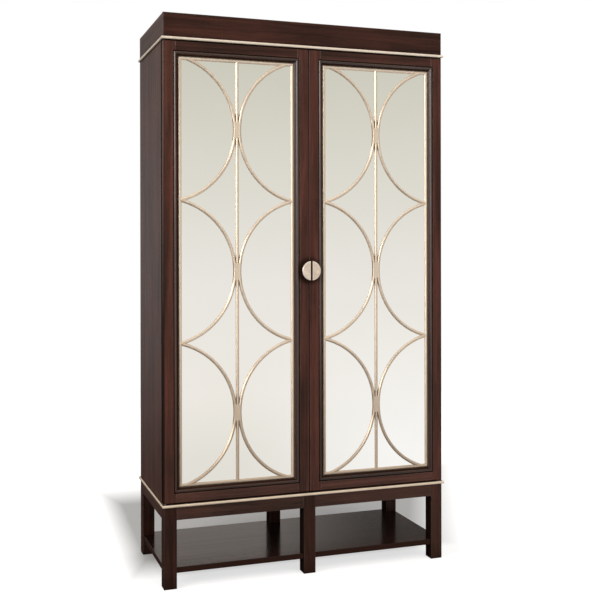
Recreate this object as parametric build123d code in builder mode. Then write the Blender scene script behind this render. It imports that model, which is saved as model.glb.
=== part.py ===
from build123d import *
from math import atan2, degrees
import os

# A two-door armoire: a mirrored, gilt-fretted case on an open six-legged stand.
# Millimetres. X runs across the front, Y from the front to the back, Z up from the floor.

# Overall sizes
width = 1200.0  # across the case sides and the legs
depth = 514.0  # from the door faces to the back of the case
stand_height = 318.0
case_height = 1808.5
cornice_height = 94.0
band_height = 11.0  # deck and cornice base, edged by the gilt beads

# Stand
leg_side = 51.0
leg_ease = 1.5
apron_height = 50.0
apron_thickness = 22.0
shelf_underside = 60.5
shelf_thickness = 22.0
shelf_setback = 5.0
shelf_ease = 1.5

# Gilt beads
bead_projection = 8.0
bead_round = 5.0
mitre_gap = 0.1  # glue line at each mitre

# Case
panel_thickness = 22.0
back_thickness = 8.0
back_rebate = 11.0
reveal_width = 18.0  # shadow groove behind the door edge
reveal_depth = 10.0
side_ease = 1.5
hat_shelf_underside = 1800.0
hat_shelf_thickness = 20.0
hat_shelf_setback = 20.0
hat_shelf_play = 0.5
pin_shelf_radius = 3.0
pin_shelf_seat = 12.0
pin_shelf_reach = 10.0
pin_shelf_margin = 70.0
rest_gap = 0.1
rod_radius = 12.5
rod_drop = 62.0  # hat shelf underside to the rod's axis
socket_flange_radius = 26.0
socket_flange = 5.0
socket_wall = 5.0
socket_grip = 12.0
socket_peg_radius = 5.0
socket_peg = 10.0
socket_play = 0.2

# Cornice
cornice_board = 22.0
cornice_lid = 16.0
cornice_ease = 2.0
block_side = 32.0

# Doors
door_thickness = 24.0
door_seam = 3.0  # door back to the case front
door_gap = 3.0  # between the two doors
door_gap_below = 4.0
door_gap_above = 3.0
stile_width = 39.0
top_rail_width = 37.0
bottom_rail_width = 37.0
door_ease = 2.0
tongue = 9.0  # ledge that carries the moulding
mirror_setback = 12.0
mirror_thickness = 4.0
mirror_play = 0.5
door_back_thickness = 5.0
door_back_lap = 8.0

# Door moulding, measured from the stile inwards and from the door face backwards
moulding_width = 21.0
quirk_width = 3.0
quirk_depth = 3.0
astragal_width = 12.0
astragal_rise = 2.0
moulding_step = 5.0
moulding_edge = 9.0

# Fretwork
fret_width = 14.0
fret_height = 6.0
fret_play = 0.3
fret_rows = 3
arc_spacing = 9.5  # centre bar to the arcs where they are tied
tie_height = 64.0

# Pulls
pull_radius = 39.5
pull_thickness = 8.0
pull_bevel = 2.5
pull_reach = 31.0  # door face to the front of the pull
pull_split = 5.0
post_radius = 7.0
post_offset = 20.0  # centre line of the armoire to the post
pull_joint = 0.05
pull_screw_radius = 2.0
pull_screw_grip = 12.0
pull_screw_head_radius = 4.0
pull_screw_head = 2.4

# Pivot hinges
pivot_inset = 8.0  # door's outer edge to the pivot
plate_reach = 28.0
plate_width = 12.0
plate_thickness = 3.0
pin_radius = 3.0
pin_seat = 4.0
pin_running = 0.05
pin_press = 0.01
pin_hole_play = 0.3
boss_radius = 5.5
thrust_play = 0.1
screw_first = 14.0
screw_spacing = 12.0
screw_length = 10.0
screw_radius = 1.5
screw_head_radius = 3.0
screw_play = 0.05
screw_slot = 0.8

# Catches
catch_width = 34.0
catch_depth = 30.0
catch_height = 12.0
strike_width = 30.0
strike_height = 10.0
strike_thickness = 1.5
catch_play = 0.2

# Planes and lines that the pieces share
half = width / 2
front = (pull_reach - depth) / 2
back = front + depth
middle = (front + back) / 2
case_z = stand_height + band_height
case_top_z = case_z + case_height
cornice_z = case_top_z + band_height
top_z = cornice_z + cornice_height
case_front = front + door_thickness + door_seam
case_rear = back - back_thickness
inner_half = half - panel_thickness
leg_columns = {"left": leg_side / 2 - half, "centre": 0.0, "right": half - leg_side / 2}
leg_rows = {"front": front + leg_side / 2, "rear": back - leg_side / 2}

door_z = case_z + door_gap_below
door_top_z = case_top_z - door_gap_above
door_height = door_top_z - door_z
door_width = half - door_gap / 2
door_back = front + door_thickness
mirror_front = front + mirror_setback
mirror_back = mirror_front + mirror_thickness
sight_bottom = door_z + bottom_rail_width  # outer edge of the moulding
sight_top = door_top_z - top_rail_width
sight_height = sight_top - sight_bottom
sight_width = door_width - 2 * stile_width
sight_z = (sight_bottom + sight_top) / 2
pull_z = (door_z + door_top_z) / 2

pivot_y = front + door_thickness / 2
screw_offsets = [screw_first, screw_first + screw_spacing]
sides = {"left": -1, "right": 1}


def save(piece, label):
    """Label a finished piece and write it."""
    piece.part.label = label
    export_step(piece.part, f"parts/{label}.step")


def board(low, high):
    """A plain board between two corners."""
    with BuildPart() as piece:
        with BuildSketch(Plane.XY.offset(low[2])):
            with Locations(((low[0] + high[0]) / 2, (low[1] + high[1]) / 2)):
                Rectangle(high[0] - low[0], high[1] - low[1])
        extrude(amount=high[2] - low[2])
    return piece


def pivot_places(side):
    """Pivot centre, plate centre and screw centres of one door, in plan."""
    x = side * (half - pivot_inset)
    plate = (x - side * plate_reach / 2, pivot_y)
    screws = [(x - side * offset, pivot_y) for offset in screw_offsets]
    return (x, pivot_y), plate, screws


pivots = [pivot_places(side)[0] for side in sides.values()]
plate_centres = [pivot_places(side)[1] for side in sides.values()]
plate_screws = [place for side in sides.values() for place in pivot_places(side)[2]]


def pivot_board(low_z, face_z, into):
    """Deck or cornice base: the plates of the pivots are let into one face."""
    with BuildPart() as piece:
        with BuildSketch(Plane.XY.offset(low_z)):
            with Locations((0, middle)):
                Rectangle(width, depth)
        extrude(amount=band_height)
        with BuildSketch(Plane.XY.offset(face_z)):
            with Locations(*plate_centres):
                SlotCenterToCenter(plate_reach, plate_width)
        extrude(amount=into * plate_thickness, mode=Mode.SUBTRACT)
        with BuildSketch(Plane.XY.offset(face_z)):
            with Locations(*pivots):
                Circle(pin_radius + pin_press)
        extrude(amount=into * (plate_thickness + pin_seat), mode=Mode.SUBTRACT)
        with BuildSketch(Plane.XY.offset(face_z)):
            with Locations(*plate_screws):
                Circle(screw_radius + screw_play)
        extrude(amount=into * screw_length, mode=Mode.SUBTRACT)
    return piece


def pivot_plates(seats, centres, pins, screws, pin_hole, boss):
    """Hinge plates with their pin and screw holes; a boss carries a door's weight."""
    with BuildPart() as piece:
        for face_z, into in seats:
            with BuildSketch(Plane.XY.offset(face_z)):
                with Locations(*centres):
                    SlotCenterToCenter(plate_reach, plate_width)
            extrude(amount=into * plate_thickness)
            turn = 0 if into < 0 else 180
            with Locations(*[Location((x, y, face_z), (turn, 0, 0)) for x, y in screws]):
                CounterSinkHole(
                    screw_radius + screw_play, screw_head_radius + screw_play, plate_thickness, 90
                )
        if boss:
            with BuildSketch(Plane.XY.offset(case_z)):
                with Locations(*pins):
                    Circle(boss_radius)
            extrude(amount=boss)
        for face_z, into in seats:
            with BuildSketch(Plane.XY.offset(face_z - into * boss)):
                with Locations(*pins):
                    Circle(pin_hole)
            extrude(amount=into * (plate_thickness + boss), mode=Mode.SUBTRACT)
    return piece


def wood_screw():
    """Countersunk screw, its head face at the origin, pointing down."""
    neck = screw_radius - screw_head_radius
    with BuildPart() as piece:
        with BuildSketch(Plane.XZ):
            with BuildLine():
                Polyline(
                    (0, 0),
                    (screw_head_radius, 0),
                    (screw_radius, neck),
                    (screw_radius, screw_radius - screw_length),
                    (0, -screw_length),
                    close=True,
                )
            make_face()
        revolve(axis=Axis.Z)
        with BuildSketch(Plane.XY):
            Rectangle(2 * screw_head_radius, screw_slot)
        extrude(amount=-screw_slot, mode=Mode.SUBTRACT)
    return piece.part


def gilt_bead(low_z):
    """Three mitred strips round the front and sides, with a rounded nose."""
    out_x = half + bead_projection
    out_y = front - bead_projection
    runs = [[(-out_x, out_y), (out_x, out_y), (half, front), (-half, front)]]
    for side in sides.values():
        nose = (side * out_x, out_y + mitre_gap)
        heel = (side * half, front + mitre_gap)
        runs.append([nose, heel, (side * half, back), (side * out_x, back)])
    with BuildPart() as piece:
        for run in runs:
            with BuildSketch(Plane.XY.offset(low_z)):
                with BuildLine():
                    Polyline(*run, close=True)
                make_face()
            extrude(amount=band_height)
        nose_edges = piece.edges().filter_by(Axis.X).group_by(Axis.Y)[0]
        nose_edges += piece.edges().filter_by(Axis.Y).group_by(Axis.X)[0]
        nose_edges += piece.edges().filter_by(Axis.Y).group_by(Axis.X)[-1]
        fillet(nose_edges, bead_round)
    return piece


# Stand
for row, y in leg_rows.items():
    for column, x in leg_columns.items():
        with BuildPart() as leg:
            with BuildSketch():
                with Locations((x, y)):
                    Rectangle(leg_side, leg_side)
            extrude(amount=stand_height)
            fillet(leg.edges().filter_by(Axis.Z), leg_ease)
            chamfer(leg.faces().sort_by(Axis.Z)[0].edges(), leg_ease)
        save(leg, f"{row}_{column}_leg")

apron_z = stand_height - apron_height
apron_spans = {
    "front_left_apron": ((leg_side - half, front), (-leg_side / 2, front + apron_thickness)),
    "front_right_apron": ((leg_side / 2, front), (half - leg_side, front + apron_thickness)),
    "rear_left_apron": ((leg_side - half, back - apron_thickness), (-leg_side / 2, back)),
    "rear_right_apron": ((leg_side / 2, back - apron_thickness), (half - leg_side, back)),
    "left_apron": ((-half, front + leg_side), (apron_thickness - half, back - leg_side)),
    "right_apron": ((half - apron_thickness, front + leg_side), (half, back - leg_side)),
}
for label, (low, high) in apron_spans.items():
    apron = board((*low, apron_z), (*high, stand_height))
    save(apron, label)

with BuildPart() as stand_shelf:
    with BuildSketch(Plane.XY.offset(shelf_underside)):
        with Locations((0, middle)):
            Rectangle(width - 2 * shelf_setback, depth - 2 * shelf_setback)
        with Locations(*[(x, y) for x in leg_columns.values() for y in leg_rows.values()]):
            Rectangle(leg_side, leg_side, mode=Mode.SUBTRACT)
    extrude(amount=shelf_thickness)
    fillet(stand_shelf.edges().filter_by(Axis.X).group_by(Axis.Y)[0], shelf_ease)
save(stand_shelf, "stand_shelf")

save(pivot_board(stand_height, case_z, -1), "stand_deck")
save(gilt_bead(stand_height), "lower_bead")

# Case
hat_shelf_rear = case_rear - hat_shelf_play
pin_rows = [case_front + hat_shelf_setback + pin_shelf_margin, hat_shelf_rear - pin_shelf_margin]
pin_z = hat_shelf_underside - rest_gap - pin_shelf_radius
rod_y = (case_front + case_rear) / 2
rod_z = hat_shelf_underside - rod_drop

for name, side in sides.items():
    with BuildPart() as case_side:
        with BuildSketch(Plane.XY.offset(case_z)):
            with Locations((side * (half + inner_half) / 2, (case_front + back) / 2)):
                Rectangle(panel_thickness, back - case_front)
            with Locations((side * (half - reveal_depth / 2), case_front + reveal_width / 2)):
                Rectangle(reveal_depth, reveal_width, mode=Mode.SUBTRACT)
            with Locations((side * (inner_half + back_rebate / 2), back - back_thickness / 2)):
                Rectangle(back_rebate, back_thickness, mode=Mode.SUBTRACT)
        extrude(amount=case_height)
        outer_edges = case_side.edges().filter_by(Axis.Z).group_by(Axis.X)[0 if side < 0 else -1]
        fillet(outer_edges, side_ease)
        inner_face = Plane(origin=(side * inner_half, 0, 0), x_dir=(0, 1, 0), z_dir=(1, 0, 0))
        with BuildSketch(inner_face):
            with Locations(*[(y, pin_z) for y in pin_rows]):
                Circle(pin_shelf_radius)
        extrude(amount=side * pin_shelf_seat, mode=Mode.SUBTRACT)
        with BuildSketch(inner_face):
            with Locations((rod_y, rod_z)):
                Circle(socket_peg_radius)
        extrude(amount=side * socket_peg, mode=Mode.SUBTRACT)
    save(case_side, f"{name}_side")

case_floor = case_z + panel_thickness
case_ceiling = case_top_z - panel_thickness
save(board((-inner_half, case_front, case_z), (inner_half, case_rear, case_floor)), "case_bottom")
save(board((-inner_half, case_front, case_ceiling), (inner_half, case_rear, case_top_z)), "case_top")
back_half = inner_half + back_rebate
save(board((-back_half, case_rear, case_z), (back_half, back, case_top_z)), "back_panel")

hat_half = inner_half - hat_shelf_play
hat_shelf = board(
    (-hat_half, case_front + hat_shelf_setback, hat_shelf_underside),
    (hat_half, hat_shelf_rear, hat_shelf_underside + hat_shelf_thickness),
)
save(hat_shelf, "hat_shelf")

with BuildPart() as shelf_pins:
    for side in sides.values():
        pin_end = Plane(
            origin=(side * (inner_half + pin_shelf_seat), 0, 0), x_dir=(0, 1, 0), z_dir=(1, 0, 0)
        )
        with BuildSketch(pin_end):
            with Locations(*[(y, pin_z) for y in pin_rows]):
                Circle(pin_shelf_radius)
        extrude(amount=-side * (pin_shelf_seat + pin_shelf_reach))
save(shelf_pins, "shelf_pins")

with BuildPart() as rod_sockets:
    for side in sides.values():
        wall_face = Plane(origin=(side * inner_half, rod_y, rod_z), x_dir=(0, 1, 0), z_dir=(1, 0, 0))
        with BuildSketch(wall_face):
            Circle(socket_flange_radius)
        extrude(amount=-side * socket_flange)
        with BuildSketch(wall_face.offset(-side * socket_flange)):
            Circle(rod_radius + socket_play + socket_wall)
            Circle(rod_radius + socket_play, mode=Mode.SUBTRACT)
        extrude(amount=-side * socket_grip)
        with BuildSketch(wall_face):
            Circle(socket_peg_radius)
        extrude(amount=side * socket_peg)
save(rod_sockets, "rod_sockets")

rod_half = inner_half - socket_flange - socket_play
with BuildPart() as hanging_rod:
    with BuildSketch(Plane(origin=(0, rod_y, rod_z), x_dir=(0, 1, 0), z_dir=(1, 0, 0))):
        Circle(rod_radius)
    extrude(amount=rod_half, both=True)
save(hanging_rod, "hanging_rod")

# Cornice
save(pivot_board(case_top_z, case_top_z, 1), "cornice_base")
save(gilt_bead(case_top_z), "upper_bead")

with BuildPart() as cornice_front:
    add(board((-half, front, cornice_z), (half, front + cornice_board, top_z)))
    face_edges = cornice_front.faces().sort_by(Axis.Y)[0].edges()
    fillet(face_edges.sort_by(Axis.Z)[1:], cornice_ease)
save(cornice_front, "cornice_front")

for name, side in sides.items():
    with BuildPart() as cornice_side:
        with BuildSketch(Plane.XY.offset(cornice_z)):
            with Locations((side * (half - cornice_board / 2), (front + cornice_board + back) / 2)):
                Rectangle(cornice_board, depth - cornice_board)
        extrude(amount=cornice_height)
        outer_face = cornice_side.faces().sort_by(Axis.X)[0 if side < 0 else -1]
        fillet(outer_face.edges().sort_by(Axis.Z)[-1], cornice_ease)
    save(cornice_side, f"cornice_{name}")

cornice_inner = half - cornice_board
cornice_rear = back - cornice_board
lid_z = top_z - cornice_lid
save(board((-cornice_inner, cornice_rear, cornice_z), (cornice_inner, back, top_z)), "cornice_back")
cornice_top = board((-cornice_inner, front + cornice_board, lid_z), (cornice_inner, cornice_rear, top_z))
save(cornice_top, "cornice_top")

with BuildPart() as cornice_blocks:
    block_x = cornice_inner - block_side / 2
    block_rows = [front + cornice_board + block_side / 2, cornice_rear - block_side / 2]
    with BuildSketch(Plane.XY.offset(cornice_z)):
        with Locations(*[(side * block_x, y) for side in sides.values() for y in block_rows]):
            Rectangle(block_side, block_side)
    extrude(amount=lid_z - cornice_z)
save(cornice_blocks, "cornice_blocks")

# Pivot hinges on the case
boss_height = door_gap_below - thrust_play
with BuildPart() as case_pivot_plates:
    for seat, boss in (((case_z, -1), boss_height), ((case_top_z, 1), 0)):
        add(pivot_plates([seat], plate_centres, pivots, plate_screws, pin_radius + pin_press, boss))
save(case_pivot_plates, "case_pivot_plates")

with BuildPart() as pivot_pins:
    for low, high in ((case_z, door_z), (door_top_z, case_top_z)):
        with BuildSketch(Plane.XY.offset(low - plate_thickness - pin_seat)):
            with Locations(*pivots):
                Circle(pin_radius)
        extrude(amount=high - low + 2 * (plate_thickness + pin_seat))
save(pivot_pins, "pivot_pins")

with BuildPart() as case_pivot_screws:
    with Locations(*[Location((x, y, case_z)) for x, y in plate_screws]):
        add(wood_screw())
    with Locations(*[Location((x, y, case_top_z), (180, 0, 0)) for x, y in plate_screws]):
        add(wood_screw())
save(case_pivot_screws, "case_pivot_screws")

# Catches under the case top
catch_x = door_gap / 2 + stile_width / 2
catch_front = door_back + strike_thickness + catch_play
with BuildPart() as door_catches:
    with BuildSketch(Plane.XY.offset(case_ceiling - catch_height)):
        with Locations(*[(side * catch_x, catch_front + catch_depth / 2) for side in sides.values()]):
            Rectangle(catch_width, catch_depth)
    extrude(amount=catch_height)
save(door_catches, "door_catches")


# Doors
def stile(outer_x, inward):
    """Upright of a door frame, stepped for the moulding in front and the backing behind."""
    stile_x = outer_x + inward * stile_width
    tip_x = stile_x + inward * tongue
    lap_x = tip_x - inward * door_back_lap
    lap_inset = tongue - door_back_lap
    with BuildPart() as piece:
        with BuildSketch(Plane.XY.offset(door_z)):
            with Locations(((outer_x + tip_x) / 2, (front + door_back) / 2)):
                Rectangle(stile_width + tongue, door_thickness)
        extrude(amount=door_height)
        rim = piece.edges().filter_by(Axis.Z).group_by(Axis.Y)[0].sort_by(Axis.X)[0 if inward > 0 else -1]
        fillet(rim, door_ease)
        with BuildSketch(Plane.XY.offset(sight_bottom)):
            with Locations(((stile_x + tip_x) / 2, (front + mirror_front) / 2)):
                Rectangle(tongue, mirror_setback)
        extrude(amount=sight_height, mode=Mode.SUBTRACT)
        with BuildSketch(Plane.XY.offset(sight_bottom + lap_inset)):
            with Locations(((lap_x + tip_x) / 2, (mirror_back + door_back) / 2)):
                Rectangle(door_back_lap, door_back - mirror_back)
        extrude(amount=sight_height - 2 * lap_inset, mode=Mode.SUBTRACT)
    return piece


def rail(centre_x, outer_z, upward, rail_width):
    """Cross-piece of a door frame, stepped in the same way as the stiles."""
    rail_length = sight_width - 2 * tongue
    edge_z = outer_z + upward * rail_width
    tip_z = edge_z + upward * tongue
    lap_z = tip_z - upward * door_back_lap
    with BuildPart() as piece:
        with BuildSketch(Plane.XY.offset(outer_z)):
            with Locations((centre_x, (front + door_back) / 2)):
                Rectangle(rail_length, door_thickness)
        extrude(amount=upward * (rail_width + tongue))
        with BuildSketch(Plane.XY.offset(edge_z)):
            with Locations((centre_x, (front + mirror_front) / 2)):
                Rectangle(rail_length, mirror_setback)
        extrude(amount=upward * tongue, mode=Mode.SUBTRACT)
        with BuildSketch(Plane.XY.offset(lap_z)):
            with Locations((centre_x, (mirror_back + door_back) / 2)):
                Rectangle(rail_length, door_back - mirror_back)
        extrude(amount=upward * door_back_lap, mode=Mode.SUBTRACT)
    return piece


def moulding_strip(length):
    """Mitred moulding along X: depth along Y from the door face, width along Z into the opening."""
    astragal_end = quirk_width + astragal_width
    with BuildPart() as piece:
        with BuildSketch(Plane.YZ):
            with BuildLine():
                Polyline(
                    (mirror_setback, moulding_width),
                    (mirror_setback, 0),
                    (quirk_depth, 0),
                    (quirk_depth, quirk_width),
                )
                ThreePointArc(
                    (quirk_depth, quirk_width),
                    (-astragal_rise, quirk_width + astragal_width / 2),
                    (quirk_depth, astragal_end),
                )
                Line((quirk_depth, astragal_end), (moulding_step, astragal_end))
                RadiusArc(
                    (moulding_step, astragal_end),
                    (moulding_edge, moulding_width),
                    moulding_width - astragal_end,
                )
                Line((moulding_edge, moulding_width), (mirror_setback, moulding_width))
            make_face()
        extrude(amount=length / 2, both=True)
        for end in (-1, 1):
            mitre_origin = (end * (length - mitre_gap) / 2, 0, 0)
            mitre = Plane(origin=mitre_origin, x_dir=(0, 1, 0), z_dir=(end, 0, 1))
            split(bisect_by=mitre, keep=Keep.BOTTOM)
    return piece.part


fret_outer_width = sight_width - 2 * (moulding_width + fret_play)
fret_outer_height = sight_height - 2 * (moulding_width + fret_play)
fret_module = fret_outer_height / fret_rows
arc_rise = (fret_outer_width - fret_width) / 2 - arc_spacing
arc_radius = ((fret_module / 2) ** 2 + arc_rise**2) / (2 * arc_rise)
arc_angle = degrees(atan2(fret_module / 2, arc_radius - arc_rise))


def fretwork(centre_x):
    """Gilt frame, centre bar and facing arcs that run into the bar, tied where they meet it."""
    sheet = Plane(origin=(centre_x, mirror_front, sight_z), x_dir=(1, 0, 0), z_dir=(0, -1, 0))
    rows = [fret_module * (row - (fret_rows - 1) / 2) for row in range(fret_rows)]
    with BuildPart() as piece:
        with BuildSketch(sheet):
            Rectangle(fret_outer_width, fret_outer_height)
            Rectangle(
                fret_outer_width - 2 * fret_width, fret_outer_height - 2 * fret_width, mode=Mode.SUBTRACT
            )
            Rectangle(fret_width, fret_outer_height)
            with Locations(*[(0, row) for row in rows]):
                Rectangle(2 * arc_spacing + fret_width, tie_height)
            for row in rows:
                for side in sides.values():
                    centre = (side * (arc_spacing + arc_radius), row)
                    start = 180 - arc_angle if side > 0 else -arc_angle
                    with BuildLine():
                        outer = CenterArc(centre, arc_radius + fret_width / 2, start, 2 * arc_angle)
                        inner = CenterArc(centre, arc_radius - fret_width / 2, start, 2 * arc_angle)
                        Line(outer @ 0, inner @ 0)
                        Line(outer @ 1, inner @ 1)
                    make_face()
            Rectangle(fret_outer_width, fret_outer_height, mode=Mode.INTERSECT)
        extrude(amount=fret_height)
    return piece


for name, side in sides.items():
    centre_x = side * (door_gap + door_width) / 2
    pivot, plate_centre, screw_places = pivot_places(side)
    post_x = side * post_offset

    with BuildPart() as hinge_stile:
        add(stile(side * half, -side))
        for edge_z, into in ((door_z, 1), (door_top_z, -1)):
            with BuildSketch(Plane.XY.offset(edge_z)):
                with Locations(plate_centre):
                    SlotCenterToCenter(plate_reach, plate_width)
            extrude(amount=into * plate_thickness, mode=Mode.SUBTRACT)
            with BuildSketch(Plane.XY.offset(edge_z)):
                with Locations(pivot):
                    Circle(pin_radius + pin_hole_play)
            extrude(amount=into * (plate_thickness + 2 * pin_seat), mode=Mode.SUBTRACT)
            with BuildSketch(Plane.XY.offset(edge_z)):
                with Locations(*screw_places):
                    Circle(screw_radius + screw_play)
            extrude(amount=into * screw_length, mode=Mode.SUBTRACT)
    save(hinge_stile, f"{name}_door_hinge_stile")

    screw_face = Plane(origin=(post_x, door_back, pull_z), x_dir=(1, 0, 0), z_dir=(0, 1, 0))
    with BuildPart() as meeting_stile:
        add(stile(side * door_gap / 2, side))
        with Locations(screw_face):
            CounterBoreHole(
                pull_screw_radius + screw_play,
                pull_screw_head_radius + screw_play,
                pull_screw_head,
                door_thickness,
            )
    save(meeting_stile, f"{name}_door_meeting_stile")

    save(rail(centre_x, door_top_z, -1, top_rail_width), f"{name}_door_top_rail")
    save(rail(centre_x, door_z, 1, bottom_rail_width), f"{name}_door_bottom_rail")

    with BuildPart() as moulding:
        with Locations(
            Location((centre_x, front, sight_bottom)), Location((centre_x, front, sight_top), (0, 180, 0))
        ):
            add(moulding_strip(sight_width))
        with Locations(
            Location((centre_x - sight_width / 2, front, sight_z), (0, 90, 0)),
            Location((centre_x + sight_width / 2, front, sight_z), (0, -90, 0)),
        ):
            add(moulding_strip(sight_height))
    save(moulding, f"{name}_door_moulding")

    mirror_half = sight_width / 2 - tongue - mirror_play
    mirror_inset = tongue + mirror_play
    door_mirror = board(
        (centre_x - mirror_half, mirror_front, sight_bottom + mirror_inset),
        (centre_x + mirror_half, mirror_back, sight_top - mirror_inset),
    )
    save(door_mirror, f"{name}_door_mirror")

    panel_inset = tongue - door_back_lap + mirror_play
    panel_half = sight_width / 2 - panel_inset
    door_panel = board(
        (centre_x - panel_half, mirror_back, sight_bottom + panel_inset),
        (centre_x + panel_half, mirror_back + door_back_thickness, sight_top - panel_inset),
    )
    save(door_panel, f"{name}_door_back")

    save(fretwork(centre_x), f"{name}_door_fretwork")

    pull_base = Plane(origin=(0, front, pull_z), x_dir=(1, 0, 0), z_dir=(0, -1, 0))
    post_height = pull_reach - pull_thickness - pull_joint
    with BuildPart() as pull:
        with BuildSketch(pull_base.offset(pull_reach - pull_thickness)):
            Circle(pull_radius)
            with Locations((side * (pull_split + pull_radius) / 2, 0)):
                Rectangle(pull_radius, 2 * pull_radius, mode=Mode.INTERSECT)
        extrude(amount=pull_thickness)
        rim = pull.faces().sort_by(Axis.Y)[0].edges().filter_by(GeomType.CIRCLE)
        chamfer(rim, pull_bevel)
        with BuildSketch(pull_base):
            with Locations((post_x, 0)):
                Circle(post_radius)
                Circle(pull_screw_radius + screw_play, mode=Mode.SUBTRACT)
        extrude(amount=post_height)
    save(pull, f"{name}_pull")

    door_pin_hole = pin_radius + pin_running
    door_plates = pivot_plates(
        [(door_z, 1), (door_top_z, -1)], [plate_centre], [pivot], screw_places, door_pin_hole, 0
    )
    save(door_plates, f"{name}_door_pivot_plates")

    with BuildPart() as door_screws:
        with Locations(*[Location((x, y, door_z), (180, 0, 0)) for x, y in screw_places]):
            add(wood_screw())
        with Locations(*[Location((x, y, door_top_z)) for x, y in screw_places]):
            add(wood_screw())
        with BuildSketch(screw_face):
            Circle(pull_screw_head_radius)
        extrude(amount=-pull_screw_head)
        with BuildSketch(screw_face):
            Circle(pull_screw_radius)
        extrude(amount=-(door_thickness + pull_screw_grip))
    save(door_screws, f"{name}_door_screws")

    with BuildPart() as strike_plate:
        strike_centre = (side * catch_x, door_back, case_ceiling - catch_height / 2)
        with BuildSketch(Plane(origin=strike_centre, x_dir=(1, 0, 0), z_dir=(0, 1, 0))):
            Rectangle(strike_width, strike_height)
        extrude(amount=strike_thickness)
    save(strike_plate, f"{name}_strike_plate")
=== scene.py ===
from math import asin, atan2, copysign, cos, hypot, pi, radians, sin, sqrt

import bmesh
import bpy
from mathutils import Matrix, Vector, noise


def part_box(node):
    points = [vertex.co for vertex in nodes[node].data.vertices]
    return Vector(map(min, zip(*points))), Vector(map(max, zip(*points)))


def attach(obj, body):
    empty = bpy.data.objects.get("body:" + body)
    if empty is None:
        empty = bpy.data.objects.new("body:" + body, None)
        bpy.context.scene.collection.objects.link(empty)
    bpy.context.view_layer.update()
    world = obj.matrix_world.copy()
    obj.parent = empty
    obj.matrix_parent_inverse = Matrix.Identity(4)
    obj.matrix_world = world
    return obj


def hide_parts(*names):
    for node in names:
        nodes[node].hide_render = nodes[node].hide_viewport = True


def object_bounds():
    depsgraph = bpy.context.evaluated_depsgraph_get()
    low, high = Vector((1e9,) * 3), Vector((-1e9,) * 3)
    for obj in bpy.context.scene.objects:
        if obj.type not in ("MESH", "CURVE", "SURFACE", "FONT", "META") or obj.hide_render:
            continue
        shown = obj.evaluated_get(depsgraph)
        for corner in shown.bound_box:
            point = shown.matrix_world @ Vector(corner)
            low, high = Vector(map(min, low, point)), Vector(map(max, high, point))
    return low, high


# Looks of a two-door armoire: dark mahogany, mirrored doors with gilt fretwork, gilt beads, round split pull.
# Metres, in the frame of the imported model: X across the front, Y to the back, Z up.

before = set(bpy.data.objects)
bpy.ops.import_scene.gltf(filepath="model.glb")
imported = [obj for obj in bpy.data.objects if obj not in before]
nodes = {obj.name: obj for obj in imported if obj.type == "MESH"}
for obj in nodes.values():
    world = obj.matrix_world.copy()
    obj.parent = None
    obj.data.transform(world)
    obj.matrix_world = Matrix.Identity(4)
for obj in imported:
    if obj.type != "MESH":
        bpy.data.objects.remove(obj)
cad_low, cad_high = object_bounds()
sides = {"left": -1, "right": 1}

# Fretwork bars, softly ridged, with a flat tie where the arcs run into the centre bar
bar_width = 0.014
bar_steps = 12
ridge_power = 1.35  # 1 for a half ellipse, 2 for a plain ridge
fret_rows = 3
arc_steps = 192
arc_spacing = 0.0095
tie_height = 0.064
tie_lap = 0.003
tie_sink = 0.0006
tie_steps = 25
centre_bar_sink = 0.0004
cleft_end = 0.072

# Pull: a hammered disc cut in two, each half on a turned post
pull_thickness = 0.008
pull_bevel = 0.003
pull_rows = 72
pull_columns = 40
bevel_drop = 0.75  # fall of the bevel, as a share of its width
hammer_depth = 0.00045
hammer_pitch = 0.0075
hammer_shift = 3.1  # sets the marks of one half apart from those of the other
hammer_stagger = 0.2
post_offset = 0.020
post_radius = 0.0062
post_foot_radius = 0.0085
post_foot_height = 0.003
post_foot_edge = 0.4  # upright part of the foot's height
post_neck_flare = 0.0006
post_neck_height = 0.0015
post_head_flare = 0.0012
post_head_height = 0.002
post_sides = 40

# Camera of the picture that the armoire is matched to
camera_place = (-1.339, -3.957, 1.330)
camera_turn = (radians(89.9), radians(0.1), radians(-19.125))
camera_lens = 58.65
camera_sensor = 36.0
camera_shift = -0.082


# Node helpers
def new_material(name):
    material = bpy.data.materials.new(name)
    material.use_nodes = True
    tree = material.node_tree
    return material, tree, tree.nodes["Principled BSDF"]


def node(tree, kind, inputs=None, **settings):
    """Add a node; an input takes a plain value or the socket that feeds it."""
    made = tree.nodes.new(kind)
    for key, value in settings.items():
        setattr(made, key, value)
    for key, value in (inputs or {}).items():
        if isinstance(value, bpy.types.NodeSocket):
            tree.links.new(value, made.inputs[key])
        else:
            made.inputs[key].default_value = value
    return made


def feed(tree, shader, **sockets):
    """Link sockets to a shader's inputs, with _ for a space in an input's name."""
    for key, socket in sockets.items():
        tree.links.new(socket, shader.inputs[key.replace("_", " ")])


def settle(shader, **values):
    """Set a shader's own constants."""
    for key, value in values.items():
        shader.inputs[key.replace("_", " ")].default_value = value


def maths(tree, operation, first, second=0.0):
    return node(tree, "ShaderNodeMath", {0: first, 1: second}, operation=operation).outputs[0]


def greatest(tree, first, *others):
    """Greatest of several values."""
    for other in others:
        first = maths(tree, "MAXIMUM", first, other)
    return first


def distance(tree, first, second):
    """Length of a flat vector, from its two parts."""
    squares = [maths(tree, "POWER", part, 2.0) for part in (first, second)]
    return maths(tree, "SQRT", maths(tree, "ADD", *squares))


def object_place(tree):
    return node(tree, "ShaderNodeTexCoord").outputs["Object"]


def separated(tree, vector):
    return node(tree, "ShaderNodeSeparateXYZ", {0: vector}).outputs


def face_way(tree):
    """Parts of a face's own normal."""
    return separated(tree, node(tree, "ShaderNodeNewGeometry").outputs["True Normal"])


def mapped(tree, vector, scale):
    return node(tree, "ShaderNodeMapping", {"Vector": vector, "Scale": scale}).outputs[0]


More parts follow.
